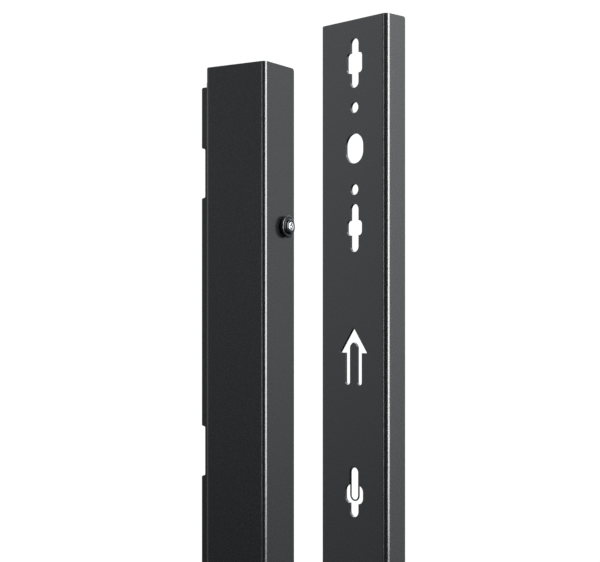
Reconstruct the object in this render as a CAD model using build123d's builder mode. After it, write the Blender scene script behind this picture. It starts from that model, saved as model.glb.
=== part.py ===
from build123d import *
import os
from math import cos, radians, sin

# Vertical cable manager: a pair of folded steel bars for the side of a 19 inch rack.
# Millimetres, +Z up, origin under the middle of the pair at the foot of the bars.

# Rack and sheet sizes
rack_unit_height = 44.45
end_to_end_units = 38
end_hole_drop = 69.85
sheet = 1.5
bend_radius = 3.0
inner_bend_radius = bend_radius - sheet
face_width = 47.9

# Length: the end ovals stand a whole number of rack units apart
bar_length = end_to_end_units * rack_unit_height + 2 * end_hole_drop

# Where the two bars stand
bar_spacing_across = 142.2
bar_spacing_back = 41.9
channel_turn = 14.2

# Channel bar: deep wall, face, shallow wall and an outward strap lip
channel_face_width = 47.1
wall_depth = 33.8
lip_front_depth = 14.5
lip_width = 13.2
wall_corner_radius = 2.2
face_corner_radius = 1.4
end_relief = 9.7
relief_edge = 1.3

# Strap notches in the lip
notch_length = 32.7
notch_depth = 2.7
notch_spacing = 184.0
first_notch_drop = 66.6
tab_radius = 1.2

# Slotted bar
flange_depth = 15.0
flange_corner_radius = 1.5
slotted_corner_radius = 0.8
slot_line = 23.4
hook_line = 23.7
arrow_line = 24.1

# Cross slots
cross_slot_width = 6.1
cross_corner_radius = 2.1
outer_cross_height = 26.8
outer_cross_drop = 23.5
outer_arm_width = 11.4
outer_arm_height = 11.0
inner_cross_height = 26.0
inner_cross_drop = 112.9
inner_arm_width = 11.2
inner_arm_height = 8.0

# Ovals and the bolt holes one rack unit apart about them
oval_width = 13.1
oval_height = 16.2
bolt_hole_radius = 2.9

# Arrow cut-out that marks the upper end
arrow_tip_drop = 166.7
arrow_half_width = 10.2
arrow_head_height = 13.9
arrow_length = 31.3
arrow_stem_slot_width = 3.55
tongue_half_width = 2.65
tongue_tip_drop = 8.2
tongue_shoulder_drop = 10.8
tongue_arch_radius = 4.0
arrow_point_radius = 0.3
stem_end_radius = 1.7

# Hook slots: a keyhole with a thin obround rim in its upper part
hook_pitch_units = 7
first_hook_drop = 242.0
hook_count = 5
hook_height = 27.6
hook_slot_width = 6.6
hook_pocket_width = 13.4
hook_pocket_height = 9.9
hook_pocket_drop = 10.3
hook_pocket_radius = 3.4
rim_height = 18.4
rim_width = 0.8
rim_thickness = 0.5
rim_bite = 0.1
rim_setback = 0.5

# Buttons that hang the channel bar in keyholes of the rack
button_drop = 103.6
button_count = 4
button_setback = 22.8
neck_diameter = 8.0
neck_length = 1.6
collar_diameter = 14.3
collar_thickness = 1.7
boss_diameter = 10.0
boss_height = 1.8

# Button screw, lock washer and nut
screw_diameter = 4.0
screw_clearance = 0.25
thread_clearance = 0.05
screw_head_diameter = 6.6
screw_head_height = 1.7
head_recess = 0.4
head_clearance = 0.3
screw_overhang = 0.8
washer_diameter = 7.2
washer_thickness = 0.9
washer_gap = 0.9
nut_sides = 6
nut_flats = 7.0
nut_height = 3.2

# Cuts that leave an edge open run past it by this much
overrun = 1.0

# Footprint of the pair, from the outer edge of the lip to the corner of the slotted bar
lip_edge = channel_face_width + lip_width
turn_cos = cos(radians(channel_turn))
turn_sin = sin(radians(channel_turn))
pair_width = bar_spacing_across + lip_edge * turn_cos + (lip_front_depth + sheet) * turn_sin
pair_depth = bar_spacing_back + wall_depth * turn_cos

# Slotted bar: x runs along the face towards its bend, y away from the face
slotted_corner = Vector(pair_width / 2, -pair_depth / 2, 0)
slotted_section = Plane(origin=slotted_corner)
slotted_face = Plane(origin=slotted_corner, x_dir=(1, 0, 0), z_dir=(0, -1, 0))

# Channel bar: the same axes, turned
channel_corner = slotted_corner + Vector(-bar_spacing_across, bar_spacing_back, 0)
channel_along = Vector(turn_cos, turn_sin, 0)
channel_back = Vector(-turn_sin, turn_cos, 0)
channel_section = Plane(origin=channel_corner, x_dir=channel_along, z_dir=(0, 0, 1))
channel_face = Plane(origin=channel_corner, x_dir=channel_along, z_dir=-channel_back)
channel_wall = Plane(origin=channel_corner, x_dir=channel_back, z_dir=channel_along)

# Sizes that follow from the ones above
button_height = neck_length + collar_thickness + boss_height
head_seat = button_height - head_recess - screw_head_height
button_hole_radius = screw_diameter / 2 + screw_clearance
washer_seat = -sheet
nut_seat = washer_seat - washer_thickness
screw_tip = nut_seat - nut_height - screw_overhang
button_pitch = (bar_length - 2 * button_drop) / (button_count - 1)
button_heights = [bar_length - button_drop - step * button_pitch for step in range(button_count)]
notch_count = int((bar_length - 2 * first_notch_drop) // notch_spacing) + 1
notch_heights = [bar_length - first_notch_drop - step * notch_spacing for step in range(notch_count)]
tab_row_length = bar_length - 2 * end_relief
inward_of_edge = (Align.MIN, Align.CENTER)
hook_pitch = hook_pitch_units * rack_unit_height
hook_tops = [bar_length - first_hook_drop - step * hook_pitch for step in range(hook_count)]
arrow_stem_half_width = tongue_half_width + arrow_stem_slot_width
arrow_tip = slotted_corner + Vector(-arrow_line, 0, bar_length - arrow_tip_drop)
arrow_plane = Plane(origin=arrow_tip, x_dir=(1, 0, 0), z_dir=(0, -1, 0))

os.makedirs("parts", exist_ok=True)


def save(part, label):
    """Label one finished piece and write its STEP file."""
    part.label = label
    export_step(part, f"parts/{label}.step")


def end_corners(bar, direction):
    """Find the edges at both ends of a bar that cross the sheet in one direction."""
    crossing = bar.edges().filter_by(Axis((0, 0, 0), direction))
    crossing = crossing.filter_by(lambda edge: edge.length < sheet + overrun)
    return crossing.filter_by(lambda edge: min(edge.center().Z, bar_length - edge.center().Z) < overrun)


def cross_slot(middle, height, arm_width, arm_height):
    """Draw an upright slot with a short wide part across its middle."""
    with Locations((-slot_line, middle)):
        SlotOverall(height, cross_slot_width, rotation=90)
        RectangleRounded(arm_width, arm_height, cross_corner_radius)


def end_group(end, inward):
    """Draw the slots and holes of one end, counted inward from that end's edge."""
    cross_slot(end + inward * outer_cross_drop, outer_cross_height, outer_arm_width, outer_arm_height)
    cross_slot(end + inward * inner_cross_drop, inner_cross_height, inner_arm_width, inner_arm_height)
    with Locations((-slot_line, end + inward * end_hole_drop)):
        SlotOverall(oval_height, oval_width, rotation=90)
        with Locations((0, rack_unit_height / 2), (0, -rack_unit_height / 2)):
            Circle(bolt_hole_radius)


def button_foot(height):
    """Give the point where one button's axis leaves the wall's outer face."""
    return channel_corner + button_setback * channel_back + Vector(0, 0, height)


def button_seat(height, above):
    """Give the plane across one button's axis, so far above the wall's outer face."""
    middle = button_foot(height) + above * channel_along
    return Plane(origin=middle, x_dir=channel_back, z_dir=channel_along)


def button_section(height):
    """Give the plane of one button's half section: x is the radius, y runs along the axis."""
    return Plane(origin=button_foot(height), x_dir=channel_back, z_dir=(0, 0, -1))


def button_axis(height):
    """Give the axis of one button, pointing away from the wall."""
    return Axis(button_foot(height), channel_along)


def make_collar(height):
    """Turn the stepped collar: neck, wide collar and a boss that takes the screw head."""
    collar_front = neck_length + collar_thickness
    with BuildPart() as collar:
        with BuildSketch(button_section(height)):
            with BuildLine():
                Polyline(
                    (button_hole_radius, 0),
                    (neck_diameter / 2, 0),
                    (neck_diameter / 2, neck_length),
                    (collar_diameter / 2, neck_length),
                    (collar_diameter / 2, collar_front),
                    (boss_diameter / 2, collar_front),
                    (boss_diameter / 2, button_height),
                    (screw_head_diameter / 2 + head_clearance, button_height),
                    (screw_head_diameter / 2 + head_clearance, head_seat),
                    (button_hole_radius, head_seat),
                    close=True,
                )
            make_face()
        revolve(axis=button_axis(height))
    return collar.part


def make_screw(height):
    """Turn the screw."""
    head_top = head_seat + screw_head_height
    with BuildPart() as screw:
        with BuildSketch(button_section(height)):
            with BuildLine():
                Polyline(
                    (0, screw_tip),
                    (screw_diameter / 2, screw_tip),
                    (screw_diameter / 2, head_seat),
                    (screw_head_diameter / 2, head_seat),
                    (screw_head_diameter / 2, head_top),
                    (0, head_top),
                    close=True,
                )
            make_face()
        revolve(axis=button_axis(height))
    return screw.part


def make_lock_washer(height):
    """Make the split spring washer under the nut."""
    with BuildPart() as washer:
        with BuildSketch(button_seat(height, washer_seat)):
            Circle(washer_diameter / 2)
            Circle(button_hole_radius, mode=Mode.SUBTRACT)
            Rectangle(washer_diameter, washer_gap, align=inward_of_edge, mode=Mode.SUBTRACT)
        extrude(amount=-washer_thickness)
    return washer.part


def make_nut(height):
    """Make the hexagon nut."""
    with BuildPart() as nut:
        with BuildSketch(button_seat(height, nut_seat)):
            RegularPolygon(nut_flats / 2, nut_sides, major_radius=False)
            Circle(screw_diameter / 2 + thread_clearance, mode=Mode.SUBTRACT)
        extrude(amount=-nut_height)
    return nut.part


# Channel bar
with BuildPart() as channel_bar:
    with BuildSketch(channel_section):
        with BuildLine():
            FilletPolyline(
                (0, wall_depth),
                (0, 0),
                (-channel_face_width, 0),
                (-channel_face_width, lip_front_depth),
                (-lip_edge, lip_front_depth),
                radius=[bend_radius, bend_radius, inner_bend_radius],
            )
            offset(amount=sheet, side=Side.RIGHT)
        make_face()
    extrude(amount=bar_length)
    fillet(end_corners(channel_bar, channel_along), wall_corner_radius)

    # The shallow wall and the lip stop short of both ends
    with BuildSketch(channel_section, channel_section.offset(bar_length - end_relief)):
        with Locations((-channel_face_width + relief_edge, -overrun), (-channel_face_width + bend_radius, sheet)):
            Rectangle(lip_edge, wall_depth, align=(Align.MAX, Align.MIN))
    extrude(amount=end_relief, mode=Mode.SUBTRACT)

    # Strap notches leave a row of tabs along the edge of the lip
    with BuildSketch(channel_face.offset(-lip_front_depth)) as lip_trim:
        with Locations((-lip_edge, bar_length / 2)):
            Rectangle(2 * notch_depth, bar_length)
            Rectangle(notch_depth, tab_row_length, align=inward_of_edge, mode=Mode.SUBTRACT)
        with Locations(*[(-lip_edge, notch) for notch in notch_heights]):
            Rectangle(notch_depth, notch_length, align=inward_of_edge)
        fillet(lip_trim.vertices(), tab_radius)
    extrude(amount=-sheet, mode=Mode.SUBTRACT)

    # Corners of the face at both ends of the bar
    fillet(end_corners(channel_bar, channel_back), face_corner_radius)

    # Screw holes of the buttons
    with BuildSketch(channel_wall):
        with Locations(*[(button_setback, height) for height in button_heights]):
            Circle(button_hole_radius)
    extrude(amount=-sheet, mode=Mode.SUBTRACT)

save(channel_bar.part, "channel_bar")

# Slotted bar
with BuildPart() as slotted_bar:
    with BuildSketch(slotted_section):
        with BuildLine():
            FilletPolyline((0, flange_depth), (0, 0), (-face_width, 0), radius=bend_radius)
            offset(amount=sheet, side=Side.RIGHT)
        make_face()
    extrude(amount=bar_length)
    fillet(end_corners(slotted_bar, slotted_section.x_dir), flange_corner_radius)
    fillet(end_corners(slotted_bar, slotted_section.y_dir), slotted_corner_radius)

    # Crosses, bolt holes and ovals, the same at both ends
    with BuildSketch(slotted_face):
        end_group(0, 1)
        end_group(bar_length, -1)
    extrude(amount=-sheet, mode=Mode.SUBTRACT)

    # Arrow: a pointed head and two stem slots, with a tongue of sheet between them
    with BuildSketch(arrow_plane) as arrow:
        with BuildLine():
            Polyline(
                (0, 0),
                (arrow_half_width, -arrow_head_height),
                (arrow_stem_half_width, -arrow_head_height),
                (arrow_stem_half_width, -arrow_length),
                (-arrow_stem_half_width, -arrow_length),
                (-arrow_stem_half_width, -arrow_head_height),
                (-arrow_half_width, -arrow_head_height),
                close=True,
            )
        make_face()
        with BuildLine():
            Polyline(
                (-tongue_half_width, -tongue_shoulder_drop),
                (-tongue_half_width, -arrow_length),
                (tongue_half_width, -arrow_length),
                (tongue_half_width, -tongue_shoulder_drop),
            )
            RadiusArc(
                (tongue_half_width, -tongue_shoulder_drop),
                (0, -tongue_tip_drop),
                -tongue_arch_radius,
            )
            RadiusArc(
                (0, -tongue_tip_drop),
                (-tongue_half_width, -tongue_shoulder_drop),
                -tongue_arch_radius,
            )
        make_face(mode=Mode.SUBTRACT)
        fillet(arrow.vertices().group_by(Axis.Y)[0], stem_end_radius)
        fillet(arrow.vertices().group_by(Axis.Y)[-1], arrow_point_radius)
        fillet(arrow.vertices().group_by(Axis.X)[0], arrow_point_radius)
        fillet(arrow.vertices().group_by(Axis.X)[-1], arrow_point_radius)
    extrude(amount=-sheet, mode=Mode.SUBTRACT)

    # Hook slots: an upright slot with a round-cornered pocket across it
    with BuildSketch(slotted_face):
        for top in hook_tops:
            with Locations((-hook_line, top - hook_height / 2)):
                SlotOverall(hook_height, hook_slot_width, rotation=90)
            with Locations((-hook_line, top - hook_pocket_drop - hook_pocket_height / 2)):
                RectangleRounded(hook_pocket_width, hook_pocket_height, hook_pocket_radius)
    extrude(amount=-sheet, mode=Mode.SUBTRACT)

    # A thin rim lines each upper slot and hangs as a loop into the pocket
    with BuildSketch(slotted_face.offset(-rim_setback)):
        for top in hook_tops:
            with Locations((-hook_line, top - rim_height / 2)):
                SlotOverall(rim_height, hook_slot_width + 2 * rim_bite, rotation=90)
                SlotOverall(
                    rim_height - 2 * rim_width,
                    hook_slot_width + 2 * rim_bite - 2 * rim_width,
                    rotation=90,
                    mode=Mode.SUBTRACT,
                )
    extrude(amount=-rim_thickness)

save(slotted_bar.part, "slotted_bar")

# Buttons: collar outside the wall, screw through it, lock washer and nut inside
for number, height in enumerate(button_heights, start=1):
    save(make_collar(height), f"button_collar_{number}")
    save(make_screw(height), f"button_screw_{number}")
    save(make_lock_washer(height), f"lock_washer_{number}")
    save(make_nut(height), f"button_nut_{number}")
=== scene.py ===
import logging
import math
from collections.abc import Callable, Sequence
from dataclasses import dataclass, field
from enum import Enum

import bmesh
import bpy
from mathutils import Matrix, Vector


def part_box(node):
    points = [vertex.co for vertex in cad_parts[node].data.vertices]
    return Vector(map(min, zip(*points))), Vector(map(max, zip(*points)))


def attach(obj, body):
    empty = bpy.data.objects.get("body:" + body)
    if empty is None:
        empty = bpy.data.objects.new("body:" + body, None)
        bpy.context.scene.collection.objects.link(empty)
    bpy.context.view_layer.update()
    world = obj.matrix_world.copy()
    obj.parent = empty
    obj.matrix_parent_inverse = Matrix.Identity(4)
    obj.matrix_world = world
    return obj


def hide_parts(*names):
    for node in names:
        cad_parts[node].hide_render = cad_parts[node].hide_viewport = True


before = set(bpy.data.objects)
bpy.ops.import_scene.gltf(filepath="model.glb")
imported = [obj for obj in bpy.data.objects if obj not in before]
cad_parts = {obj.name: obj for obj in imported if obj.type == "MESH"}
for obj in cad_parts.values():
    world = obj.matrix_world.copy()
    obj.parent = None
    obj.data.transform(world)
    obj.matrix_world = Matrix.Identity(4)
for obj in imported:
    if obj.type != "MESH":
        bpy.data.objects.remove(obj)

# Vertical cable manager: two folded steel bars, cut as flat blanks and folded here, with the
# turned buttons that hang the channel bar in its rack.
# Sizes are millimetres in the fields and metres in the meshes and the studio.

log = logging.getLogger("cable_manager")

BODY = "root"
MM = 0.001
SAME_SPOT_MM = 0.02
SAME_SPOT = 1e-7
ON_AXIS_MM = 1e-6
LEAST_TURN = 1e-4
SENSOR_WIDTH_MM = 36.0
WAVE_PERIOD = 0.31416
RIM_CORNER_STEPS = 12
RIDGE_SEGMENTS = 40
RIDGE_SIDES = 4
NUT_SIDES = 6

Point = tuple[float, float]
Corner = tuple[float, float, float]
Colour = tuple[float, float, float, float]
FourSizes = tuple[float, float, float, float]
Piece = bpy.types.Object
Socket = bpy.types.NodeSocket
Tree = bpy.types.NodeTree
Shape = bmesh.types.BMesh


class Finish(Enum):
    """The record's material slots."""

    POWDER = "black_powder_coat"
    BLACK_ZINC = "black_zinc"
    BRIGHT_ZINC = "bright_zinc"


# Small helpers


def linear(hex_colour: str) -> Colour:
    """Turn an sRGB hex colour into the linear colour that shaders take.

    Args:
        hex_colour: Six hex digits after a hash sign.

    Returns:
        Red, green, blue and an alpha of one.
    """
    values = [int(hex_colour[start:start + 2], 16) / 255 for start in (1, 3, 5)]
    curved = [v / 12.92 if v <= 0.04045 else ((v + 0.055) / 1.055) ** 2.4 for v in values]
    return (curved[0], curved[1], curved[2], 1.0)


def feed(node: bpy.types.Node, inputs: dict) -> None:
    """Set or link a node's inputs.

    Args:
        node: The node.
        inputs: Socket names or numbers, each with a value, or the socket or node that feeds it.
    """
    for name, value in inputs.items():
        if isinstance(value, bpy.types.Node):
            value = value.outputs[0]
        if isinstance(value, Socket):
            node.id_data.links.new(value, node.inputs[name])
        else:
            node.inputs[name].default_value = value


def add_node(tree: Tree, kind: str, settings: dict | None = None,
             inputs: dict | None = None) -> bpy.types.Node:
    """Add one node with its settings and inputs.

    Args:
        tree: The tree that gets the node.
        kind: The node's type, without the ShaderNode or GeometryNode that it starts with.
        settings: Property names and their values.
        inputs: The inputs, as feed takes them.

    Returns:
        The new node.
    """
    node = tree.nodes.new(tree.bl_idname.removesuffix("Tree") + kind)
    for name, value in (settings or {}).items():
        setattr(node, name, value)
    feed(node, inputs or {})
    return node


def new_object(name: str, data: bpy.types.ID) -> Piece:
    """Link a mesh, a camera or a light to the scene as an object at the origin.

    Args:
        name: The object's name.
        data: What it shows; a mesh is in metres and in place.

    Returns:
        The new object.
    """
    made = bpy.data.objects.new(name, data)
    bpy.context.scene.collection.objects.link(made)
    return made


def object_from(name: str, shape: Shape) -> Piece:
    """Write a closed bmesh to a new object, with its normals outwards, and free it.

    Args:
        name: The object's name.
        shape: The bmesh, in metres and in place.

    Returns:
        The new object.
    """
    bmesh.ops.recalc_face_normals(shape, faces=shape.faces)
    mesh = bpy.data.meshes.new(name)
    shape.to_mesh(mesh)
    shape.free()
    return new_object(name, mesh)


def baked_mesh(piece: Piece) -> bpy.types.Mesh:
    """Give what a piece's modifiers make of it.

    Args:
        piece: The object.

    Returns:
        The new mesh.
    """
    graph = bpy.context.evaluated_depsgraph_get()
    graph.update()
    return bpy.data.meshes.new_from_object(piece.evaluated_get(graph))


def bake_modifiers(piece: Piece) -> None:
    """Replace a piece's mesh by what its modifiers make of it, and remove them.

    Args:
        piece: The object.
    """
    baked = baked_mesh(piece)
    piece.modifiers.clear()
    piece.data = baked


def cut_with(piece: Piece, cutter: Piece, operation: str) -> None:
    """Cut a piece with a shape that isn't needed again.

    Args:
        piece: The object to cut.
        cutter: The shape, which is removed.
        operation: DIFFERENCE takes the shape away, INTERSECT keeps what is in it.
    """
    cut = piece.modifiers.new("cut", "BOOLEAN")
    cut.operation = operation
    cut.solver = "EXACT"
    cut.object = cutter
    bake_modifiers(piece)
    bpy.data.objects.remove(cutter)


def soften(piece: Piece, width: float, segments: int = 2, from_angle: float = 50.0) -> None:
    """Round a piece's sharp edges a little and shade its flat faces flat.

    Args:
        piece: The object to finish.
        width: The rounding's width in millimetres.
        segments: Faces across each rounding.
        from_angle: Edges that turn more than this many degrees are rounded.
    """
    for face in piece.data.polygons:
        face.use_smooth = True
    edge = piece.modifiers.new("rounded edges", "BEVEL")
    edge.width = width * MM
    edge.segments = segments
    edge.limit_method = "ANGLE"
    edge.angle_limit = math.radians(from_angle)
    edge.use_clamp_overlap = True
    shading = piece.modifiers.new("flat faces", "WEIGHTED_NORMAL")
    shading.mode = "FACE_AREA"
    shading.weight = 100
    bake_modifiers(piece)


def rounded_outline(corners: Sequence[Corner], steps: int) -> list[Point]:
    """Draw a closed outline whose corners are rounded by their own radii.

    Args:
        corners: Each corner as x, y and radius.
        steps: Straight pieces in a quarter turn.

    Returns:
        The outline's points in order, without repeats.
    """
    points: list[Point] = []
    for index, (x, y, radius) in enumerate(corners):
        here = Vector((x, y))
        before = (Vector(corners[index - 1][:2]) - here).normalized()
        after = (Vector(corners[(index + 1) % len(corners)][:2]) - here).normalized()
        opening = before.angle(after)
        if radius <= 0 or math.pi - opening < LEAST_TURN:
            points.append((x, y))
            continue
        reach = radius / math.tan(opening / 2)
        start = here + before * reach
        middle = here + (before + after).normalized() * (radius / math.sin(opening / 2))
        spoke = start - middle
        turn = math.pi - opening
        if before.x * after.y - before.y * after.x > 0:
            turn = -turn
        count = max(2, math.ceil(abs(turn) / (math.pi / 2) * steps))
        for step in range(count + 1):
            point = middle + Matrix.Rotation(turn * step / count, 2) @ spoke
            points.append((point.x, point.y))
    kept: list[Point] = []
    for point in points:
        if not kept or math.dist(point, kept[-1]) > SAME_SPOT_MM:
            kept.append(point)
    if math.dist(kept[0], kept[-1]) <= SAME_SPOT_MM:
        kept.pop()
    return kept


def rectangle(middle: Point, width: float, height: float, radius: float) -> list[Corner]:
    """Give the corners of an upright rectangle with rounded corners.

    Args:
        middle: Its centre.
        width: Its size across.
        height: Its size upwards.
        radius: The corners' radius; half the width makes round ends.

    Returns:
        Four corners, anticlockwise.
    """
    x, y = middle
    half_width, half_height = width / 2, height / 2
    signs = ((-1, -1), (1, -1), (1, 1), (-1, 1))
    return [(x + side * half_width, y + end * half_height, radius) for side, end in signs]


def round_hole(middle: Point, radius: float) -> list[Corner]:
    """Give the corners of a round hole, as a square with quarter circles."""
    return rectangle(middle, 2 * radius, 2 * radius, radius)


def mirrored(right: list[Corner], middle: float = 0.0) -> list[Corner]:
    """Give the left half that closes an outline whose right half goes upwards."""
    return [(2 * middle - x, y, radius) for x, y, radius in reversed(right)]


def slot_with_arms(middle: float, slot: Corner, arms: FourSizes) -> list[Corner]:
    """Give the corners of a round-ended upright slot with a wider part across it.

    Args:
        middle: The x of the slot's line.
        slot: Its width, its lowest y and its highest y.
        arms: The wider part's width, lowest y, highest y and corner radius.

    Returns:
        The corners of the joined outline, anticlockwise.
    """
    width, low, high = slot
    arm_width, arm_low, arm_high, arm_radius = arms
    inner, outer = width / 2, arm_width / 2
    right = [
        (middle + inner, low, inner),
        (middle + inner, arm_low, 0.0),
        (middle + outer, arm_low, arm_radius),
        (middle + outer, arm_high, arm_radius),
        (middle + inner, arm_high, 0.0),
        (middle + inner, high, inner),
    ]
    return right + mirrored(right, middle)


def arc_between(start: Point, end: Point, radius: float, steps: int) -> list[Point]:
    """Sample the short arc that bulges to the left of the way from start to end.

    Args:
        start: The arc's first point, which isn't repeated.
        end: The arc's last point, which is the last one given.
        radius: Its radius.
        steps: Straight pieces along it.

    Returns:
        The points after the start.
    """
    first, last = Vector(start), Vector(end)
    way = last - first
    left = Vector((-way.y, way.x)).normalized()
    middle = (first + last) / 2 - left * math.sqrt(radius ** 2 - (way.length / 2) ** 2)
    turn = -2 * math.asin(way.length / 2 / radius)
    spoke = first - middle
    turned = [middle + Matrix.Rotation(turn * step / steps, 2) @ spoke for step in range(1, steps + 1)]
    return [(point.x, point.y) for point in turned]


def prism(rings: Sequence[Sequence[Corner]]) -> Shape:
    """Close the space between two level outlines with as many points.

    Args:
        rings: The two outlines, each point as x, y and height.

    Returns:
        The closed shape.
    """
    shape = bmesh.new()
    first, last = ([shape.verts.new(spot) for spot in ring] for ring in rings)
    for index in range(len(first)):
        shape.faces.new([first[index - 1], first[index], last[index], last[index - 1]])
    shape.faces.new(first)
    shape.faces.new(last)
    return shape


# Folding a flat blank


@dataclass(frozen=True)
class Run:
    """A straight or bent stretch of the fold line; a straight one has no bend middle."""

    start: Vector
    heading: Vector
    length: float
    first: float
    bend_middle: Vector | None = None
    turn: float = 0.0


@dataclass(frozen=True)
class FoldLine:
    """The line that a bar's sheet follows, seen from above, with the sheet on its right."""

    corners: tuple[Point, ...]
    radii: tuple[float, ...]
    sheet: float

    def runs(self) -> list[Run]:
        """Cut the line into straight stretches and bends.

        Returns:
            The stretches in order, each with the distance along the line where it starts.
        """
        found: list[Run] = []
        along = 0.0
        start = Vector(self.corners[0])
        for index, radius in enumerate(self.radii, start=1):
            corner = Vector(self.corners[index])
            heading = (corner - Vector(self.corners[index - 1])).normalized()
            leaving = (Vector(self.corners[index + 1]) - corner).normalized()
            turn = heading.angle_signed(leaving)
            reach = radius * math.tan(abs(turn) / 2)
            end = corner - heading * reach
            length = (end - start).length
            found.append(Run(start, heading, length, along))
            along += length
            side = -1.0 if turn > 0 else 1.0
            to_middle = Vector((-heading.y, heading.x)) * side * radius
            arc = radius * abs(turn)
            found.append(Run(end, heading, arc, along, end + to_middle, side * abs(turn)))
            along += arc
            start = corner + leaving * reach
        last = Vector(self.corners[-1])
        heading = (last - start).normalized()
        found.append(Run(start, heading, (last - start).length, along))
        return found

    def length(self) -> float:
        """Give the blank's width along the line."""
        last = self.runs()[-1]
        return last.first + last.length

    def stations(self, steps: int) -> list[float]:
        """Give the distances along the line where the bends need a crease.

        Args:
            steps: Flat pieces across each bend.

        Returns:
            The distances in order.
        """
        bends = [run for run in self.runs() if run.bend_middle is not None]
        return [run.first + run.length * step / steps for run in bends for step in range(steps + 1)]

    def folder(self) -> Callable[[float, float], Vector]:
        """Make the function that folds a point of the blank.

        Returns:
            A function of the distance along the line and the depth into the sheet.
        """
        runs = self.runs()

        def fold(distance: float, depth: float) -> Vector:
            """Find the folded place of one point of the blank.

            Args:
                distance: How far along the line it is.
                depth: How deep in the sheet it is.

            Returns:
                Its place seen from above.
            """
            run = next((r for r in runs if distance <= r.first + r.length), runs[-1])
            beyond = distance - run.first
            if run.bend_middle is None:
                right = Vector((run.heading.y, -run.heading.x))
                return run.start + run.heading * beyond + right * depth
            turned = Matrix.Rotation(run.turn * beyond / run.length, 2)
            heading = turned @ run.heading
            right = Vector((heading.y, -heading.x))
            on_line = run.bend_middle + turned @ (run.start - run.bend_middle)
            return on_line + right * depth

        return fold


@dataclass
class FoldedBar:
    """A bar cut as a flat blank, folded along its line and stood at its corner."""

    name: str
    line: FoldLine
    outline: list[Point]
    holes: list[list[Point]]
    corner: Vector
    turn: float
    bend_steps: int = 12
    slice_height: float = 60.0
    edge_rounding: float = 0.72
    edge_segments: int = 4
    rounded_from: float = 40.0

    def cut_blank(self) -> Shape:
        """Cut the blank: fill between its outline and its holes, then crease it.

        Returns:
            The flat sheet as one layer of faces, x along the fold line and y up.
        """
        blank = bmesh.new()
        edges = []
        for loop in [self.outline, *self.holes]:
            ring = [blank.verts.new((x, y, 0)) for x, y in loop]
            edges += [blank.edges.new((ring[i - 1], ring[i])) for i in range(len(ring))]
        bmesh.ops.triangle_fill(blank, use_beauty=True, use_dissolve=False, edges=edges)
        top = max(y for _, y in self.outline)
        slices = [step * self.slice_height for step in range(1, math.ceil(top / self.slice_height))]
        cuts = [(Vector((s, 0, 0)), Vector((1, 0, 0))) for s in self.line.stations(self.bend_steps)]
        cuts += [(Vector((0, height, 0)), Vector((0, 1, 0))) for height in slices]
        for point, normal in cuts:
            everything = blank.verts[:] + blank.edges[:] + blank.faces[:]
            bmesh.ops.bisect_plane(blank, geom=everything, dist=SAME_SPOT_MM, plane_co=point, plane_no=normal)
        bmesh.ops.remove_doubles(blank, verts=blank.verts, dist=SAME_SPOT_MM)
        return blank

    def fold(self) -> Piece:
        """Give the blank its thickness, fold it and stand it in its place.

        Returns:
            The bar as one closed mesh, before its edges are rounded.
        """
        blank = self.cut_blank()
        place = self.line.folder()
        turned = Matrix.Rotation(self.turn, 2)
        folded = bmesh.new()
        layers = []
        for depth in (0.0, self.line.sheet):
            layer = []
            for vertex in blank.verts:
                flat = turned @ place(vertex.co.x, depth)
                spot = self.corner + Vector((flat.x, flat.y, vertex.co.y))
                layer.append(folded.verts.new(spot * MM))
            layers.append(layer)
        front, back = layers
        blank.verts.index_update()
        for face in blank.faces:
            numbers = [vertex.index for vertex in face.verts]
            folded.faces.new([front[number] for number in numbers])
            folded.faces.new([back[number] for number in reversed(numbers)])
        for edge in blank.edges:
            if edge.is_boundary:
                low, high = (vertex.index for vertex in edge.verts)
                folded.faces.new([front[low], front[high], back[high], back[low]])
        blank.free()
        return object_from(self.name, folded)

    def build(self) -> Piece:
        """Fold the bar and round its cut edges as the coating does.

        Returns:
            The finished bar.
        """
        bar = self.fold()
        soften(bar, self.edge_rounding, self.edge_segments, self.rounded_from)
        return bar


# Materials


def new_material(name: str) -> tuple[bpy.types.Material, bpy.types.Node]:
    """Start a material.

    Args:
        name: Its name.

    Returns:
        The material and its shader.
    """
    material = bpy.data.materials.new(name)
    material.use_nodes = True
    return material, material.node_tree.nodes["Principled BSDF"]


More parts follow.
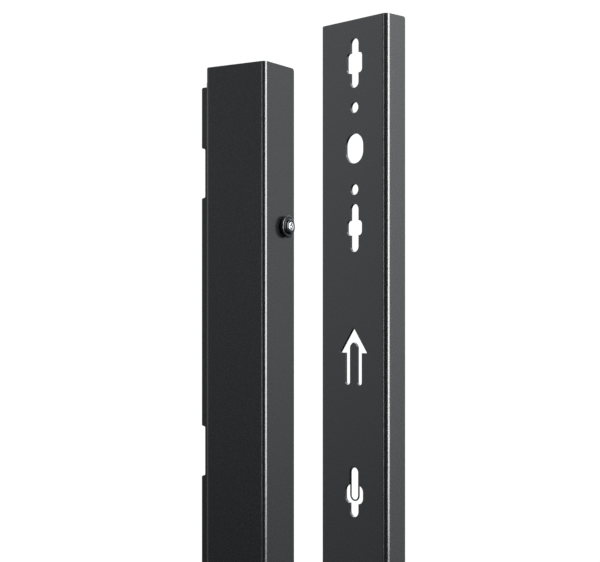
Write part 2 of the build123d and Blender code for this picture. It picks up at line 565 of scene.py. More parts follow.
@dataclass(frozen=True)
class PowderCoat:
    """Black polyester powder coat, sprayed dry and baked on steel.

    The baked powder leaves a fine even pebble over a slight waviness, so highlights are wide and
    soft and the sheet looks charcoal, never pure black. The real pebble is about 0.2 mm, too fine
    for the picture, so it is drawn larger.
    """

    colour: str = "#060707"
    fleck: str = "#0C0D0D"
    fleck_from: float = 0.42
    fleck_to: float = 0.72
    roughness_low: float = 0.21
    roughness_high: float = 0.28
    rough_from: float = 0.35
    rough_to: float = 0.65
    ior: float = 1.5
    grain_mm: float = 0.55
    grain_detail: float = 2.0
    grain_roughness: float = 0.6
    wave_mm: float = 4.0
    wave_detail: float = 1.0
    grain_depth_mm: float = 0.012
    wave_depth_mm: float = 0.010

    def make(self) -> bpy.types.Material:
        """Build the material.

        Returns:
            The material, named for its process.
        """
        material, shader = new_material("black_polyester_powder_coat")
        tree = material.node_tree
        place = add_node(tree, "TexCoord").outputs["Object"]
        grain = add_node(tree, "TexNoise", inputs={
            "Vector": place, "Scale": 1 / (self.grain_mm * MM), "Detail": self.grain_detail,
            "Roughness": self.grain_roughness}).outputs["Fac"]
        wave = add_node(tree, "TexNoise", inputs={
            "Vector": place, "Scale": 1 / (self.wave_mm * MM),
            "Detail": self.wave_detail}).outputs["Fac"]
        ramp = add_node(tree, "ValToRGB", inputs={"Fac": grain})
        stops = ((self.fleck_from, self.colour), (self.fleck_to, self.fleck))
        for stop, (position, colour) in zip(ramp.color_ramp.elements, stops):
            stop.position = position
            stop.color = linear(colour)
        rough = add_node(tree, "MapRange", inputs={
            "Value": grain, "From Min": self.rough_from, "From Max": self.rough_to,
            "To Min": self.roughness_low, "To Max": self.roughness_high})
        pebble = add_node(tree, "Bump", inputs={
            "Height": grain, "Strength": 1.0, "Distance": self.grain_depth_mm * MM})
        waviness = add_node(tree, "Bump", inputs={
            "Height": wave, "Strength": 1.0, "Distance": self.wave_depth_mm * MM, "Normal": pebble})
        feed(shader, {"Base Color": ramp, "Roughness": rough, "Normal": waviness, "IOR": self.ior})
        return material


@dataclass(frozen=True)
class TurnedZinc:
    """Steel turned on a lathe and zinc plated, black or bright.

    The tool leaves fine rings that follow the turned shape and draw the highlights out round it.
    """

    name: str
    colour: str
    shade: str
    roughness: float
    roughness_spread: float = 0.2
    ring_mm: float = 0.28
    ring_depth_mm: float = 0.004
    mottle_mm: float = 1.6
    mottle_detail: float = 3.0

    def make(self) -> bpy.types.Material:
        """Build the material.

        Returns:
            The material, named for its process.
        """
        material, shader = new_material(self.name)
        tree = material.node_tree
        profile = add_node(tree, "UVMap", {"uv_map": "profile"})
        place = add_node(tree, "TexCoord").outputs["Object"]
        # The profile map's y is the distance along the turned outline, in metres.
        rings = add_node(tree, "TexWave", {"bands_direction": "Y"}, {
            "Vector": profile, "Scale": WAVE_PERIOD / (self.ring_mm * MM), "Distortion": 0.0})
        mottle = add_node(tree, "TexNoise", inputs={
            "Vector": place, "Scale": 1 / (self.mottle_mm * MM),
            "Detail": self.mottle_detail}).outputs["Fac"]
        tint = add_node(tree, "Mix", {"data_type": "RGBA"}, {
            "Factor": mottle, "A": linear(self.shade), "B": linear(self.colour)})
        rough = add_node(tree, "MapRange", inputs={
            "Value": mottle, "To Min": self.roughness * (1 - self.roughness_spread),
            "To Max": self.roughness * (1 + self.roughness_spread)})
        bump = add_node(tree, "Bump", inputs={
            "Height": rings.outputs["Fac"], "Strength": 1.0, "Distance": self.ring_depth_mm * MM})
        feed(shader, {
            "Base Color": tint.outputs["Result"], "Roughness": rough, "Normal": bump, "Metallic": 1.0})
        return material


def dress(piece: Piece, finish: Finish, material: bpy.types.Material, *nodes: str) -> None:
    """Give a piece its only material, hang it on the body, hide the CAD nodes that it stands for and log its
    finish.

    Args:
        piece: The finished piece.
        finish: The record's slot for its finish.
        material: The material it gets.
        nodes: The CAD nodes that it replaces.
    """
    piece.data.materials.clear()
    piece.data.materials.append(material)
    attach(piece, BODY)
    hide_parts(*nodes)
    log.info("%s: %d faces in %s", piece.name, len(piece.data.polygons), finish.value)


# The two bars


@dataclass
class BarSizes:
    """What both bars share."""

    sheet: float = 1.5
    bend_radius: float = 3.0
    rack_unit: float = 44.45
    end_units: int = 38
    end_hole_drop: float = 69.85
    across: float = 142.2
    back: float = 41.9
    channel_turn: float = math.radians(14.2)
    button_setback: float = 22.8
    curve_steps: int = 10

    @property
    def length(self) -> float:
        """Give the bars' length."""
        return self.end_units * self.rack_unit + 2 * self.end_hole_drop


@dataclass
class ChannelBar:
    """The left bar: deep wall, face, shallow wall and a lip of strap tabs."""

    sizes: BarSizes
    corner: Vector
    button_heights: list[float]
    face_width: float = 47.1
    wall_depth: float = 33.8
    lip_front_depth: float = 14.5
    lip_width: float = 13.2
    wall_corner_radius: float = 2.2
    face_corner_radius: float = 1.4
    end_relief: float = 9.7
    relief_edge: float = 1.3
    notch_length: float = 32.7
    notch_depth: float = 2.7
    notch_spacing: float = 184.0
    first_notch_drop: float = 66.6
    tab_radius: float = 1.2
    screw_hole_radius: float = 2.25

    def line(self) -> FoldLine:
        """Draw the line that the sheet follows, from the deep wall's edge to the lip's.

        Returns:
            The fold line.
        """
        face, lip = self.face_width, self.face_width + self.lip_width
        corners = ((0.0, self.wall_depth), (0.0, 0.0), (-face, 0.0), (-face, self.lip_front_depth),
                   (-lip, self.lip_front_depth))
        bend = self.sizes.bend_radius
        return FoldLine(corners, (bend, bend, bend - self.sizes.sheet), self.sizes.sheet)

    def notch_heights(self) -> list[float]:
        """Place the strap notches.

        Returns:
            Their middles, lowest first.
        """
        length = self.sizes.length
        count = int((length - 2 * self.first_notch_drop) // self.notch_spacing) + 1
        return [length - self.first_notch_drop - step * self.notch_spacing for step in reversed(range(count))]

    def outline(self) -> list[Point]:
        """Draw the blank's edge with its end reliefs and its row of tabs.

        Returns:
            The outline's points.
        """
        line = self.line()
        edge, top, relief = line.length(), self.sizes.length, self.end_relief
        bend, tab, floor = self.sizes.bend_radius, self.tab_radius, line.length() - self.notch_depth
        bend_after_face = line.runs()[3]
        face_end = bend_after_face.first + bend * math.asin(1 - self.relief_edge / bend)
        corners = [(0.0, 0.0, self.wall_corner_radius), (face_end, 0.0, self.face_corner_radius),
                   (face_end, relief, 0.0), (edge, relief, tab)]
        for middle in self.notch_heights():
            low, high = middle - self.notch_length / 2, middle + self.notch_length / 2
            corners += [(edge, low, tab), (floor, low, tab), (floor, high, tab), (edge, high, tab)]
        corners += [(edge, top - relief, tab), (face_end, top - relief, 0.0),
                    (face_end, top, self.face_corner_radius), (0.0, top, self.wall_corner_radius)]
        return rounded_outline(corners, self.sizes.curve_steps)

    def build(self) -> Piece:
        """Cut, fold and finish the channel bar.

        Returns:
            The finished bar.
        """
        across = self.wall_depth - self.sizes.button_setback
        holes = [rounded_outline(round_hole((across, height), self.screw_hole_radius), self.sizes.curve_steps)
                 for height in self.button_heights]
        bar = FoldedBar("channel_bar_folded", self.line(), self.outline(), holes, self.corner,
                        self.sizes.channel_turn)
        return bar.build()


@dataclass
class SlottedBar:
    """The right bar: a face of crosses, ovals, an arrow and hook slots, and a narrow flange."""

    sizes: BarSizes
    corner: Vector
    face_width: float = 47.9
    flange_depth: float = 15.0
    flange_corner_radius: float = 1.5
    face_corner_radius: float = 0.8
    slot_line: float = 23.4
    hook_line: float = 23.7
    arrow_line: float = 24.1
    cross_slot_width: float = 6.1
    cross_corner_radius: float = 2.1
    outer_cross: FourSizes = (23.5, 26.8, 11.4, 11.0)
    inner_cross: FourSizes = (112.9, 26.0, 11.2, 8.0)
    oval: tuple[float, float] = (13.1, 16.2)
    bolt_hole_radius: float = 2.9
    arrow_tip_drop: float = 166.7
    arrow_half_width: float = 10.2
    arrow_head_height: float = 13.9
    arrow_length: float = 31.3
    arrow_stem_slot: float = 3.55
    tongue_half_width: float = 2.65
    tongue_tip_drop: float = 8.2
    tongue_shoulder_drop: float = 10.8
    tongue_arch_radius: float = 4.0
    arrow_point_radius: float = 0.3
    stem_end_radius: float = 1.7
    hook_units: int = 7
    first_hook_drop: float = 242.0
    hook_count: int = 5
    hook_height: float = 27.6
    hook_width: float = 6.6
    pocket: FourSizes = (13.4, 10.3, 9.9, 3.4)

    def line(self) -> FoldLine:
        """Give the line that the sheet follows, from the flange's edge to the face's."""
        corners = ((0.0, self.flange_depth), (0.0, 0.0), (-self.face_width, 0.0))
        return FoldLine(corners, (self.sizes.bend_radius,), self.sizes.sheet)

    def on_face(self, from_corner: float) -> float:
        """Give the distance along the fold line of a line so far from the bar's corner."""
        face = self.line().runs()[2]
        return face.first + from_corner - self.sizes.bend_radius

    def cross(self, end: float, inward: int, sizes: FourSizes) -> list[Corner]:
        """Give the corners of one cross, an upright slot with short arms.

        Args:
            end: The height of the bar's end that it is measured from.
            inward: 1 at the lower end and -1 at the upper one.
            sizes: Its drop from the end, its height, and its arms' width and height.

        Returns:
            Its corners.
        """
        drop, height, arm_width, arm_height = sizes
        middle = end + inward * drop
        slot = (self.cross_slot_width, middle - height / 2, middle + height / 2)
        arms = (arm_width, middle - arm_height / 2, middle + arm_height / 2, self.cross_corner_radius)
        return slot_with_arms(self.on_face(self.slot_line), slot, arms)

    def arrow(self) -> list[Point]:
        """Draw the arrow: a pointed head and two stem slots about a tongue of sheet.

        Returns:
            The outline's points.
        """
        steps = self.sizes.curve_steps
        stem = self.tongue_half_width + self.arrow_stem_slot
        tongue, foot, barb = self.tongue_half_width, -self.arrow_length, -self.arrow_head_height
        shoulder, apex = -self.tongue_shoulder_drop, (0.0, -self.tongue_tip_drop)
        right = [
            (tongue, shoulder, 0.0),
            (tongue, foot, self.stem_end_radius),
            (stem, foot, self.stem_end_radius),
            (stem, barb, 0.0),
            (self.arrow_half_width, barb, self.arrow_point_radius),
        ]
        points = rounded_outline([*right, (0.0, 0.0, self.arrow_point_radius), *mirrored(right)], steps)
        arch = arc_between((-tongue, shoulder), apex, self.tongue_arch_radius, steps)
        arch += arc_between(apex, (tongue, shoulder), self.tongue_arch_radius, steps)[:-1]
        middle, tip = self.on_face(self.arrow_line), self.sizes.length - self.arrow_tip_drop
        return [(middle + x, tip + y) for x, y in points + arch]

    def hook_tops(self) -> list[float]:
        """Give the tops of the hook slots, highest first."""
        pitch = self.hook_units * self.sizes.rack_unit
        return [self.sizes.length - self.first_hook_drop - step * pitch for step in range(self.hook_count)]

    def hook_slot(self, top: float) -> list[Corner]:
        """Give the corners of one hook slot.

        Args:
            top: The height of its top.

        Returns:
            Its corners.
        """
        width, drop, height, radius = self.pocket
        slot = (self.hook_width, top - self.hook_height, top)
        arms = (width, top - drop - height, top - drop, radius)
        return slot_with_arms(self.on_face(self.hook_line), slot, arms)

    def holes(self) -> list[list[Point]]:
        """Draw every hole in the bar's face.

        Returns:
            One closed outline for each hole.
        """
        line, oval_width = self.on_face(self.slot_line), self.oval[0]
        found = []
        for end, inward in ((0.0, 1), (self.sizes.length, -1)):
            middle = end + inward * self.sizes.end_hole_drop
            found += [self.cross(end, inward, sizes) for sizes in (self.outer_cross, self.inner_cross)]
            found.append(rectangle((line, middle), *self.oval, oval_width / 2))
            found += [round_hole((line, middle + side * self.sizes.rack_unit / 2), self.bolt_hole_radius)
                      for side in (-1, 1)]
        found += [self.hook_slot(top) for top in self.hook_tops()]
        return [self.arrow(), *(rounded_outline(corners, self.sizes.curve_steps) for corners in found)]

    def build(self) -> Piece:
        """Cut, fold and finish the slotted bar.

        Returns:
            The finished bar.
        """
        edge, top = self.line().length(), self.sizes.length
        corners = [(0.0, 0.0, self.flange_corner_radius), (edge, 0.0, self.face_corner_radius),
                   (edge, top, self.face_corner_radius), (0.0, top, self.flange_corner_radius)]
        outline = rounded_outline(corners, self.sizes.curve_steps)
        return FoldedBar("slotted_bar_folded", self.line(), outline, self.holes(), self.corner, 0.0).build()


# Geometry Nodes


class RepeatedSweep:
    """A Geometry Nodes tree that sweeps a section round a path and repeats it in a straight row."""

    def __init__(self, name: str, sizes: Sequence[str]) -> None:
        """Start the tree with its inputs.

        Args:
            name: The tree's name.
            sizes: The names of the sizes that it takes beside what every row takes.
        """
        kinds = {"Count": "Int", **dict.fromkeys(("Step", "First", "Turn"), "Vector"),
                 "Material": "Material", **dict.fromkeys(sizes, "Float")}
        self.tree = bpy.data.node_groups.new(name, "GeometryNodeTree")
        sockets = self.tree.interface
        sockets.new_socket("Geometry", in_out="OUTPUT", socket_type="NodeSocketGeometry")
        self.identifiers = {
            size: sockets.new_socket(size, in_out="INPUT", socket_type=f"NodeSocket{kind}").identifier
            for size, kind in kinds.items()}
        self.given = self.tree.nodes.new("NodeGroupInput").outputs

    def finish(self, path: bpy.types.Node, section: bpy.types.Node) -> "RepeatedSweep":
        """Sweep the section, set its copies in their row and close the tree.

        Args:
            path: The node that draws the closed path.
            section: The node that draws the section.

        Returns:
            This object.
        """
        spots = add_node(self.tree, "MeshLine", inputs={
            "Count": self.given["Count"], "Start Location": self.given["First"],
            "Offset": self.given["Step"]})
        swept = add_node(self.tree, "CurveToMesh", inputs={"Curve": path, "Profile Curve": section})
        turned = self.tree.nodes.new("FunctionNodeEulerToRotation")
        feed(turned, {"Euler": self.given["Turn"]})
        placed = add_node(self.tree, "InstanceOnPoints", inputs={
            "Points": spots, "Instance": swept, "Rotation": turned})
        real = add_node(self.tree, "RealizeInstances", inputs={"Geometry": placed})
        painted = add_node(self.tree, "SetMaterial", inputs={
            "Geometry": real, "Material": self.given["Material"]})
        feed(self.tree.nodes.new("NodeGroupOutput"), {"Geometry": painted})
        return self

    def run(self, name: str, values: dict) -> bpy.types.Mesh:
        """Run the tree on a carrier object and keep what it makes as a plain mesh.

        Args:
            name: The new mesh's name.
            values: Input names and their values.

        Returns:
            The mesh.
        """
        carrier = new_object(name + "_carrier", bpy.data.meshes.new(name + "_carrier"))
        modifier = carrier.modifiers.new(self.tree.name, "NODES")
        modifier.node_group = self.tree
        for key, value in values.items():
            modifier[self.identifiers[key]] = value
        mesh = baked_mesh(carrier)
        mesh.name = name
        bpy.data.objects.remove(carrier)
        return mesh


def rim_tree() -> RepeatedSweep:
    """Build the tree that lines the hook slots with thin obround rims.

    Returns:
        The finished tree.
    """
    rims = RepeatedSweep("obround rims", ("Width", "Height", "Corner", "Bar", "Thickness"))
    frame_line = add_node(rims.tree, "CurvePrimitiveQuadrilateral", inputs={
        "Width": rims.given["Width"], "Height": rims.given["Height"]})
    rounded = add_node(rims.tree, "FilletCurve", {"mode": "POLY"}, {
        "Curve": frame_line, "Count": RIM_CORNER_STEPS, "Radius": rims.given["Corner"], "Limit Radius": True})
    section = add_node(rims.tree, "CurvePrimitiveQuadrilateral", inputs={
        "Width": rims.given["Bar"], "Height": rims.given["Thickness"]})
    return rims.finish(rounded, section)


def ridge_tree() -> RepeatedSweep:
    """Build the tree that sets the ridges of a screw thread along a shank.

    Returns:
        The finished tree.
    """
    ridges = RepeatedSweep("thread ridges", ("Radius", "Ridge"))
    circle = add_node(ridges.tree, "CurvePrimitiveCircle", inputs={
        "Resolution": RIDGE_SEGMENTS, "Radius": ridges.given["Radius"]})
    section = add_node(ridges.tree, "CurvePrimitiveCircle", inputs={
        "Resolution": RIDGE_SIDES, "Radius": ridges.given["Ridge"]})
    return ridges.finish(circle, section)


@dataclass
class HookRims:
    """The thin obround rims that line the upper part of each hook slot."""

    bar: SlottedBar
    height: float = 18.9
    width: float = 0.8
    thickness: float = 0.5
    bite: float = 0.1
    setback: float = 0.5
    edge_rounding: float = 0.12

    def build(self, material: bpy.types.Material) -> Piece:
        """Make all the rims as one piece.

        Args:
            material: The bars' coating.

        Returns:
            The finished rims.
        """
        tops = self.bar.hook_tops()
        width = self.bar.hook_width + 2 * self.bite - self.width
        first = self.bar.corner + Vector((-self.bar.hook_line, self.setback + self.thickness / 2,
                                          tops[0] - self.height / 2))
        sizes = {"Step": Vector((0.0, 0.0, tops[1] - tops[0])), "First": first, "Width": width,
                 "Height": self.height - self.width, "Corner": width / 2, "Bar": self.width,
                 "Thickness": self.thickness}
        mesh = rim_tree().run("hook_slot_rims", {
            "Count": len(tops), "Turn": Vector((math.pi / 2, 0.0, 0.0)), "Material": material,
            **{name: size * MM for name, size in sizes.items()}})
        shape = bmesh.new()
        shape.from_mesh(mesh)
        bmesh.ops.remove_doubles(shape, verts=shape.verts, dist=SAME_SPOT)
        piece = object_from("hook_slot_rims", shape)
        soften(piece, self.edge_rounding)
        return piece


# The buttons


def circle_points(radius: float, height: float, count: int) -> list[Corner]:
    """Give so many points round +Z, each as x, y and height."""
    angles = [2 * math.pi * step / count for step in range(count)]
    return [(radius * math.cos(a), radius * math.sin(a), height) for a in angles]


def turned_shape(profile: Sequence[Point], closed: bool, segments: int = 72) -> Shape:
    """Turn a half section about +Z, with a map of the distance along it.

    Args:
        profile: Radius and height pairs along the half section.
        closed: True for a ring, whose last point joins its first.
        segments: Faces round the axis.

    Returns:
        The closed shape in millimetres, with the UV map named profile.
    """
    shape = bmesh.new()
    layer = shape.loops.layers.uv.new("profile")
    rings = []
    for radius, height in profile:
        if radius < ON_AXIS_MM:
            rings.append([shape.verts.new((0.0, 0.0, height))] * segments)
        else:
            rings.append([shape.verts.new(spot) for spot in circle_points(radius, height, segments)])
    distance = 0.0
    for index in range(len(profile) if closed else len(profile) - 1):
        following = (index + 1) % len(profile)
        span = math.dist(profile[index], profile[following])
        low, high = rings[index], rings[following]
        for step in range(segments):
            around = (step + 1) % segments
            corners = {}
            for vertex, side, far in ((low[step], 0, 0), (low[around], 1, 0), (high[around], 1, 1),
                                      (high[step], 0, 1)):
                corners.setdefault(vertex, (side, far))
            if len(corners) < 3:
                continue
            face = shape.faces.new(corners)
            for loop, (side, far) in zip(face.loops, corners.values()):
                across = (step + side) / segments
                loop[layer].uv = (across * MM, (distance + span * far) * MM)
        distance += span
    return shape


@dataclass
class Button:
    """A hanging button: collar, screw, lock washer and nut on one level axis.

    The axis leaves the wall's outer face at the foot and is turned so far from +X.
    """

    number: int
    foot: Vector
    turn: float
    sheet: float
    neck_diameter: float = 8.0
    neck_length: float = 1.6
    neck_edge: float = 0.1
    neck_fillet: float = 0.2
    collar_diameter: float = 14.3
    collar_thickness: float = 1.7
    collar_rounding: float = 0.6
    collar_edge: float = 0.05
    collar_steps: int = 5
    boss_diameter: float = 9.4
    boss_height: float = 1.8
    boss_fillet: float = 0.3
    boss_rounding: float = 0.8
    screw_diameter: float = 4.0
    bore_radius: float = 2.25
    bore_edge: float = 0.2
    head_diameter: float = 6.1
    head_height: float = 1.7
    head_recess: float = -0.3
    head_clearance: float = 0.35
    head_edge: float = 0.1
    head_rounding: float = 0.55
    head_steps: int = 6
    recess_span: float = 3.9
    recess_slot: float = 0.95
    recess_depth: float = 1.1
    recess_rise: float = 0.2
    recess_widest: float = 1.06
    recess_narrowest: float = 0.72
    shoulder_height: float = 0.6
    shoulder_slope: float = 0.3
    tip_chamfer: float = 0.4
    screw_overhang: float = 0.8
    screw_edge: float = 0.06
    thread_pitch: float = 0.7
    ridge_height: float = 0.28
    washer_diameter: float = 7.2
    washer_thickness: float = 0.9
    washer_gap: float = 0.9
    washer_slant: float = 0.3
    washer_edge: float = 0.12
    washer_steps: int = 60
    nut_flats: float = 7.0
    nut_height: float = 3.2
    nut_hole_radius: float = 2.05
    nut_chamfer: float = 0.45
    nut_flat_rim: float = 0.05
    nut_margin: float = 0.2
    nut_edge: float = 0.08

    @property
    def height(self) -> float:
        """Give the collar's height above the wall."""
        return self.neck_length + self.collar_thickness + self.boss_height

    @property
    def head_seat(self) -> float:
        """Give the height of the counterbore's floor above the wall."""
        return self.height - self.head_recess - self.head_height

    @property
    def nut_seat(self) -> float:
        """Give the nut's near face, counted from the wall's outer face."""
        return -self.sheet - self.washer_thickness

    @property
    def screw_tip(self) -> float:
        """Give the screw's far end, counted from the wall's outer face."""
        return self.nut_seat - self.nut_height - self.screw_overhang

    def put(self, name: str, shape: Shape) -> Piece:
        """Stand a shape made about +Z, in millimetres, on this button's axis.

        Args:
            name: The piece's name, which gets the button's number.
            shape: The shape.

        Returns:
            The placed object.
        """
        along = Matrix.Rotation(self.turn, 4, "Z") @ Matrix.Rotation(math.pi / 2, 4, "Y")
        shape.transform(Matrix.Scale(MM, 4) @ Matrix.Translation(self.foot) @ along)
        return object_from(f"{name}_{self.number}", shape)

    def make_collar(self) -> Piece:
        """Turn the stepped collar with its small roundings.

        Returns:
            The finished collar.
        """
        front = self.neck_length + self.collar_thickness
        rim, boss, neck = self.collar_diameter / 2, self.boss_diameter / 2, self.neck_diameter / 2
        bore = self.head_diameter / 2 + self.head_clearance
        corners = [
            (self.bore_radius, 0.0, 0.0),
            (neck, 0.0, self.neck_edge),
            (neck, self.neck_length, self.neck_fillet),
            (rim, self.neck_length, self.collar_rounding),
            (rim, front, self.collar_rounding),
            (boss, front, self.boss_fillet),
            (boss, self.height, self.boss_rounding),
            (bore, self.height, self.bore_edge),
            (bore, self.head_seat, 0.0),
            (self.bore_radius, self.head_seat, 0.0),
        ]
        outline = rounded_outline(corners, self.collar_steps)
        collar = self.put("button_collar_turned", turned_shape(outline, closed=True))
        soften(collar, self.collar_edge, segments=1, from_angle=60.0)
        return collar

    def make_screw(self, ridges: RepeatedSweep, material: bpy.types.Material) -> Piece:
        """Turn the screw, sink its cross recess and set its thread ridges.

        Args:
            ridges: The tree that makes the ridges.
            material: The screw's finish, which the tree sets.

        Returns:
            The finished screw.
        """
        shank, head = self.screw_diameter / 2, self.head_diameter / 2
        core = shank - self.ridge_height
        tip, seat, top = self.screw_tip, self.head_seat, self.head_seat + self.head_height
        shoulder = seat - self.shoulder_height
        thread_end = shoulder - self.shoulder_slope
        outline = rounded_outline([(0.0, seat, 0.0), (head, seat, self.head_edge),
                                   (head, top, self.head_rounding), (0.0, top, 0.0)], self.head_steps)
        profile = [(0.0, tip), (core - self.tip_chamfer, tip), (core, tip + self.tip_chamfer),
                   (core, thread_end), (shank, shoulder), (shank, seat), *outline[1:-1], (0.0, top)]
        screw = self.put("button_screw_driven", turned_shape(profile, closed=False))
        cut_with(screw, self.put("recess_cutter", self.recess_cutter(top)), "DIFFERENCE")
        soften(screw, self.screw_edge)
        self.add_thread(screw, ridges, material, core, thread_end)
        return screw

    def recess_cutter(self, top: float) -> Shape:
        """Make the tapered cross that sinks the recess, in millimetres about +Z.

        Args:
            top: The height of the head's top.

        Returns:
            The cutter.
        """
        rings = []
        for height, scale in ((top + self.recess_rise, self.recess_widest),
                              (top - self.recess_depth, self.recess_narrowest)):
            arm, half = self.recess_span / 2 * scale, self.recess_slot / 2 * scale
            quarter, cross = [(half, half), (half, arm), (-half, arm)], []
            for _ in range(4):
                cross += [(x, y, height) for x, y in quarter]
                quarter = [(-y, x) for x, y in quarter]
            rings.append(cross)
        return prism(rings)

    def add_thread(self, screw: Piece, ridges: RepeatedSweep, material: bpy.types.Material,
                   core: float, end: float) -> None:
        """Join the thread's ridges to the screw's mesh.

        Args:
            screw: The turned screw.
            ridges: The tree that makes the ridges.
            material: The screw's finish.
            core: The radius that the ridges stand on.
            end: The height of the last ridge.
        """
        start = self.screw_tip + self.thread_pitch
        along = Vector((math.cos(self.turn), math.sin(self.turn), 0.0))
        mesh = ridges.run(f"thread_{self.number}", {
            "Count": int((end - start) / self.thread_pitch),
            "Step": along * self.thread_pitch * MM,
            "First": (self.foot + along * start) * MM,
            "Turn": Vector((0.0, math.pi / 2, self.turn)), "Radius": core * MM,
            "Ridge": self.ridge_height * MM, "Material": material})
        joined = bmesh.new()
        joined.from_mesh(screw.data)
        joined.from_mesh(mesh)
        joined.to_mesh(screw.data)
        joined.free()

    def make_washer(self) -> Piece:
        """Make the split spring washer with its slanted cut.

        Returns:
            The finished washer.
        """
        shape = bmesh.new()
        layer = shape.loops.layers.uv.new("profile")
        inner, outer = self.bore_radius, self.washer_diameter / 2
        gap = self.washer_gap / outer
        slant = self.washer_slant * gap
        rims = ((inner, self.nut_seat, -slant), (outer, self.nut_seat, -slant),
                (outer, -self.sheet, slant), (inner, -self.sheet, slant))
        sections = []
        for step in range(self.washer_steps + 1):
            section = []
            for radius, height, lean in rims:
                start, end = gap / 2 + lean, 2 * math.pi - gap / 2 + lean
                angle = start + (end - start) * (step / self.washer_steps)
                section.append(shape.verts.new((radius * math.cos(angle), radius * math.sin(angle), height)))
            sections.append(section)
        for before, after in zip(sections, sections[1:]):
            for side in range(len(rims)):
                face = shape.faces.new([before[side - 1], before[side], after[side], after[side - 1]])
                for loop in face.loops:
                    loop[layer].uv = (0.0, loop.vert.co.xy.length * MM)
        shape.faces.new(sections[0])
        shape.faces.new(sections[-1])
        washer = self.put("lock_washer_split", shape)
        soften(washer, self.washer_edge)
        return washer

    def make_nut(self) -> Piece:
        """Make the hexagon nut, a prism whose rims and bore are turned down.

        Returns:
            The finished nut.
        """
        low, high = self.nut_seat - self.nut_height, self.nut_seat
        flats, hole, drop = self.nut_flats / 2, self.nut_hole_radius, self.nut_chamfer
        corner, rim = flats / math.cos(math.pi / NUT_SIDES), flats - self.nut_flat_rim
        hexagon = prism([circle_points(corner, height, NUT_SIDES) for height in (low, high)])
        hexagon.loops.layers.uv.new("profile")
        nut = self.put("button_nut_hex", hexagon)
        outer = corner + self.nut_margin
        section = [(hole, low + drop), (hole + drop, low), (rim, low), (outer, low + drop),
                   (outer, high - drop), (rim, high), (hole + drop, high), (hole, high - drop)]
        cut_with(nut, self.put("nut_cutter", turned_shape(section, closed=True)), "INTERSECT")
        soften(nut, self.nut_edge)
        return nut


# Studio


@dataclass(frozen=True)
class Patch:
    """A round soft-edged patch of light in the room.

    Its middle is in degrees, anticlockwise from +X and upwards, and its edge is the cosine of the
    angle from there. A wall's light also follows the room's height ramp.
    """

    azimuth: float
    elevation: float
    edge: float
    strength: float
    is_wall: bool = False

    def shine(self, tree: Tree, way: Socket) -> bpy.types.Node:
        """Add the nodes that give the patch's light.

        Args:
            tree: The world's tree.
            way: The direction that is looked in.

        Returns:
            The node that gives the light.
        """
        turn, rise = math.radians(self.azimuth), math.radians(self.elevation)
        middle = (math.cos(turn) * math.cos(rise), math.sin(turn) * math.cos(rise), math.sin(rise))
        facing = add_node(tree, "VectorMath", {"operation": "DOT_PRODUCT"}, {0: way, 1: middle})
        return add_node(tree, "MapRange", {"interpolation_type": "SMOOTHSTEP"}, {
            "Value": facing.outputs["Value"], "From Min": self.edge, "From Max": 1.0,
            "To Min": 0.0, "To Max": self.strength})


@dataclass(frozen=True)
class Lamp:
    """A soft rectangular light that faces the bars, in degrees anticlockwise from +X, metres and watts."""

    name: str
    azimuth: float
    height: float
    size: tuple[float, float]
    power: float
    distance: float = 2.2

    def hang(self) -> None:
        """Put the light in the scene."""
        data = bpy.data.lights.new(self.name, "AREA")
        data.shape = "RECTANGLE"
        data.size, data.size_y = self.size
        data.energy = self.power
        lamp = new_object(self.name, data)
        angle = math.radians(self.azimuth)
        lamp.location = (self.distance * math.cos(angle), self.distance * math.sin(angle), self.height)
        lamp.rotation_euler = (math.pi / 2, 0.0, angle + math.pi / 2)
        lamp.visible_camera = False


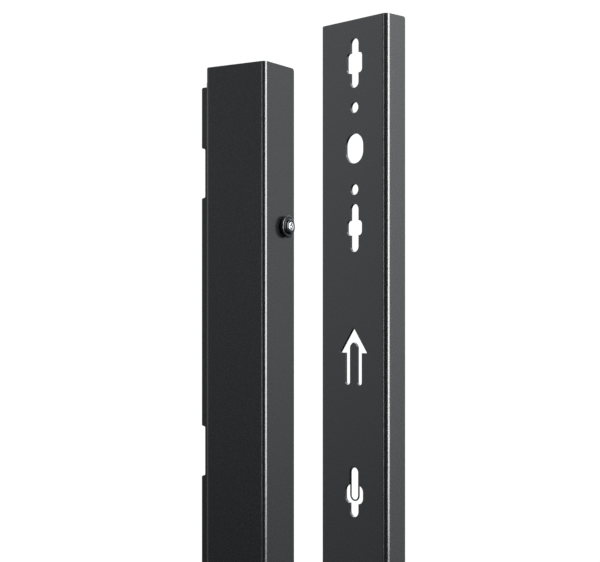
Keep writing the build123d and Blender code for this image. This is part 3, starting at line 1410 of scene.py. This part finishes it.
@dataclass
class Studio:
    """The camera, the plain pale floor and the soft lights."""

    camera_place: Corner = (0.5693, -0.5433, 1.6709)
    camera_yaw: float = math.radians(46.5)
    lens: float = 78.0
    shift_up: float = 0.05
    floor_half: float = 2.4
    floor_colour: str = "#EDEDED"
    floor_roughness: float = 0.9
    room_colour: str = "#F5FAFE"
    backdrop_strength: float = 1.05
    lowest: float = 0.02
    by_height: tuple[Point, ...] = (
        (-0.45, 0.03), (-0.2, 0.33), (0.0, 0.57), (0.2, 0.76), (0.38, 1.0), (0.52, 0.7), (0.68, 0.06))
    high_band: tuple[Point, ...] = ((0.33, 0.0), (0.46, 1.0), (0.76, 1.0), (0.86, 0.1))
    band_strength: float = 2.8
    patches: tuple[Patch, ...] = (
        Patch(-145.6, 0.0, 0.72, 1.792, is_wall=True),
        Patch(42.0, 0.0, 0.66, 2.128, is_wall=True),
        Patch(118.0, 10.0, 0.78, 1.5),
        Patch(-75.0, -58.0, 0.7, 1.5),
        Patch(-107.0, -45.0, 0.89, 1.6),
    )
    lamps: tuple[Lamp, ...] = (
        Lamp("key_right", 13.0, 2.3, (1.25, 2.2), 220.0),
        Lamp("strip_left", -92.0, 1.95, (0.3, 1.5), 13.0),
        Lamp("key_high", 32.0, 3.4, (1.2, 0.8), 60.0),
    )

    def make_camera(self) -> None:
        """Stand the camera where the photograph was taken from."""
        data = bpy.data.cameras.new("camera")
        data.lens = self.lens
        data.sensor_width = SENSOR_WIDTH_MM
        data.shift_y = self.shift_up
        camera = new_object("camera", data)
        camera.location = self.camera_place
        camera.rotation_euler = (math.pi / 2, 0.0, self.camera_yaw)
        bpy.context.scene.camera = camera

    def make_floor(self) -> None:
        """Lay the plain pale floor that the bars stand on, which they don't mirror."""
        mesh = bpy.data.meshes.new("floor")
        width = 2 * self.floor_half
        corners = [(x, y, 0) for x, y, _ in rectangle((0.0, 0.0), width, width, 0.0)]
        mesh.from_pydata(corners, [], [(0, 1, 2, 3)])
        floor = new_object("floor", mesh)
        material, shader = new_material("pale_painted_floor")
        feed(shader, {"Base Color": linear(self.floor_colour), "Roughness": self.floor_roughness})
        mesh.materials.append(material)
        floor.visible_glossy = False

    def height_ramp(self, tree: Tree, raised: bpy.types.Node, shares: Sequence[Point]) -> bpy.types.Node:
        """Map a direction's height to its share of the light.

        Args:
            tree: The world's tree.
            raised: The node with the height, from 0 straight down to 1 straight up.
            shares: Heights from -1 to 1, each with its share.

        Returns:
            The node with the share.
        """
        ramp = add_node(tree, "ValToRGB", inputs={"Fac": raised})
        ramp.color_ramp.interpolation = "EASE"
        stops = ramp.color_ramp.elements
        for number, (place, share) in enumerate(shares):
            stop = stops[number] if number < len(stops) else stops.new(1.0)
            stop.position = (place + 1) / 2
            stop.color = (share, share, share, 1.0)
        return ramp

    def make_world(self) -> None:
        """Surround the object: white to the camera, a soft room with a dark front to the lights."""
        world = bpy.data.worlds.new("studio")
        world.use_nodes = True
        tree = world.node_tree
        tree.nodes.clear()
        way = add_node(tree, "TexCoord").outputs["Generated"]
        height = add_node(tree, "SeparateXYZ", inputs={"Vector": way}).outputs["Z"]
        raised = add_node(tree, "MapRange", inputs={"Value": height, "From Min": -1.0, "From Max": 1.0})
        rise = self.height_ramp(tree, raised, self.by_height)
        band = self.height_ramp(tree, raised, self.high_band)
        level = add_node(tree, "Math", {"operation": "MULTIPLY_ADD"}, {
            0: band, 1: self.band_strength, 2: self.lowest})
        for patch in self.patches:
            share = rise if patch.is_wall else 1.0
            level = add_node(tree, "Math", {"operation": "MULTIPLY_ADD"}, {
                0: patch.shine(tree, way), 1: share, 2: level})
        room = add_node(tree, "Background", inputs={
            "Color": linear(self.room_colour), "Strength": level})
        backdrop = add_node(tree, "Background", inputs={
            "Color": linear("#FFFFFF"), "Strength": self.backdrop_strength})
        seen = add_node(tree, "LightPath").outputs["Is Camera Ray"]
        mixed = add_node(tree, "MixShader", inputs={0: seen, 1: room, 2: backdrop})
        add_node(tree, "OutputWorld", inputs={"Surface": mixed})
        bpy.context.scene.world = world

    def build(self) -> None:
        """Set up the camera, the floor, the room and the lights."""
        self.make_camera()
        self.make_floor()
        self.make_world()
        for lamp in self.lamps:
            lamp.hang()
        bpy.context.scene.view_settings.view_transform = "Standard"


@dataclass
class CableManager:
    """The pair of bars with the buttons, built and dressed as one product."""

    sizes: BarSizes = field(default_factory=BarSizes)
    button_count: int = 4
    button_drop: float = 103.6

    def button_heights(self) -> list[float]:
        """Place the buttons.

        Returns:
            Their heights, highest first.
        """
        length = self.sizes.length
        pitch = (length - 2 * self.button_drop) / (self.button_count - 1)
        return [length - self.button_drop - step * pitch for step in range(self.button_count)]

    def build(self) -> None:
        """Build every piece and dress it."""
        powder = PowderCoat().make()
        black = TurnedZinc("black_zinc_plate_on_turned_steel", "#3A3A3C", "#2A2A2C", roughness=0.2).make()
        bright = TurnedZinc("bright_zinc_plate_on_steel", "#B4B6B9", "#96989C", roughness=0.3).make()
        heights = self.button_heights()
        low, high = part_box("slotted_bar")
        slotted_corner = Vector((high.x, low.y, 0.0)) / MM
        channel_corner = slotted_corner + Vector((-self.sizes.across, self.sizes.back, 0.0))
        dress(ChannelBar(self.sizes, channel_corner, heights).build(), Finish.POWDER, powder, "channel_bar")
        slotted = SlottedBar(self.sizes, slotted_corner)
        dress(slotted.build(), Finish.POWDER, powder, "slotted_bar")
        dress(HookRims(slotted).build(powder), Finish.POWDER, powder, "slotted_bar")
        turn = self.sizes.channel_turn
        backward = Vector((-math.sin(turn), math.cos(turn), 0.0))
        ridges = ridge_tree()
        for number, height in enumerate(heights, start=1):
            foot = channel_corner + backward * self.sizes.button_setback + Vector((0.0, 0.0, height))
            button = Button(number, foot, turn, self.sizes.sheet)
            dress(button.make_collar(), Finish.BLACK_ZINC, black, f"button_collar_{number}")
            dress(button.make_screw(ridges, bright), Finish.BRIGHT_ZINC, bright, f"button_screw_{number}")
            dress(button.make_washer(), Finish.BRIGHT_ZINC, bright, f"lock_washer_{number}")
            dress(button.make_nut(), Finish.BRIGHT_ZINC, bright, f"button_nut_{number}")


def main() -> None:
    """Build the cable manager in its studio."""
    logging.basicConfig(level=logging.INFO, format="%(name)s: %(message)s")
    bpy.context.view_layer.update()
    Studio().build()
    CableManager().build()


if __name__ == "__main__":
    main()
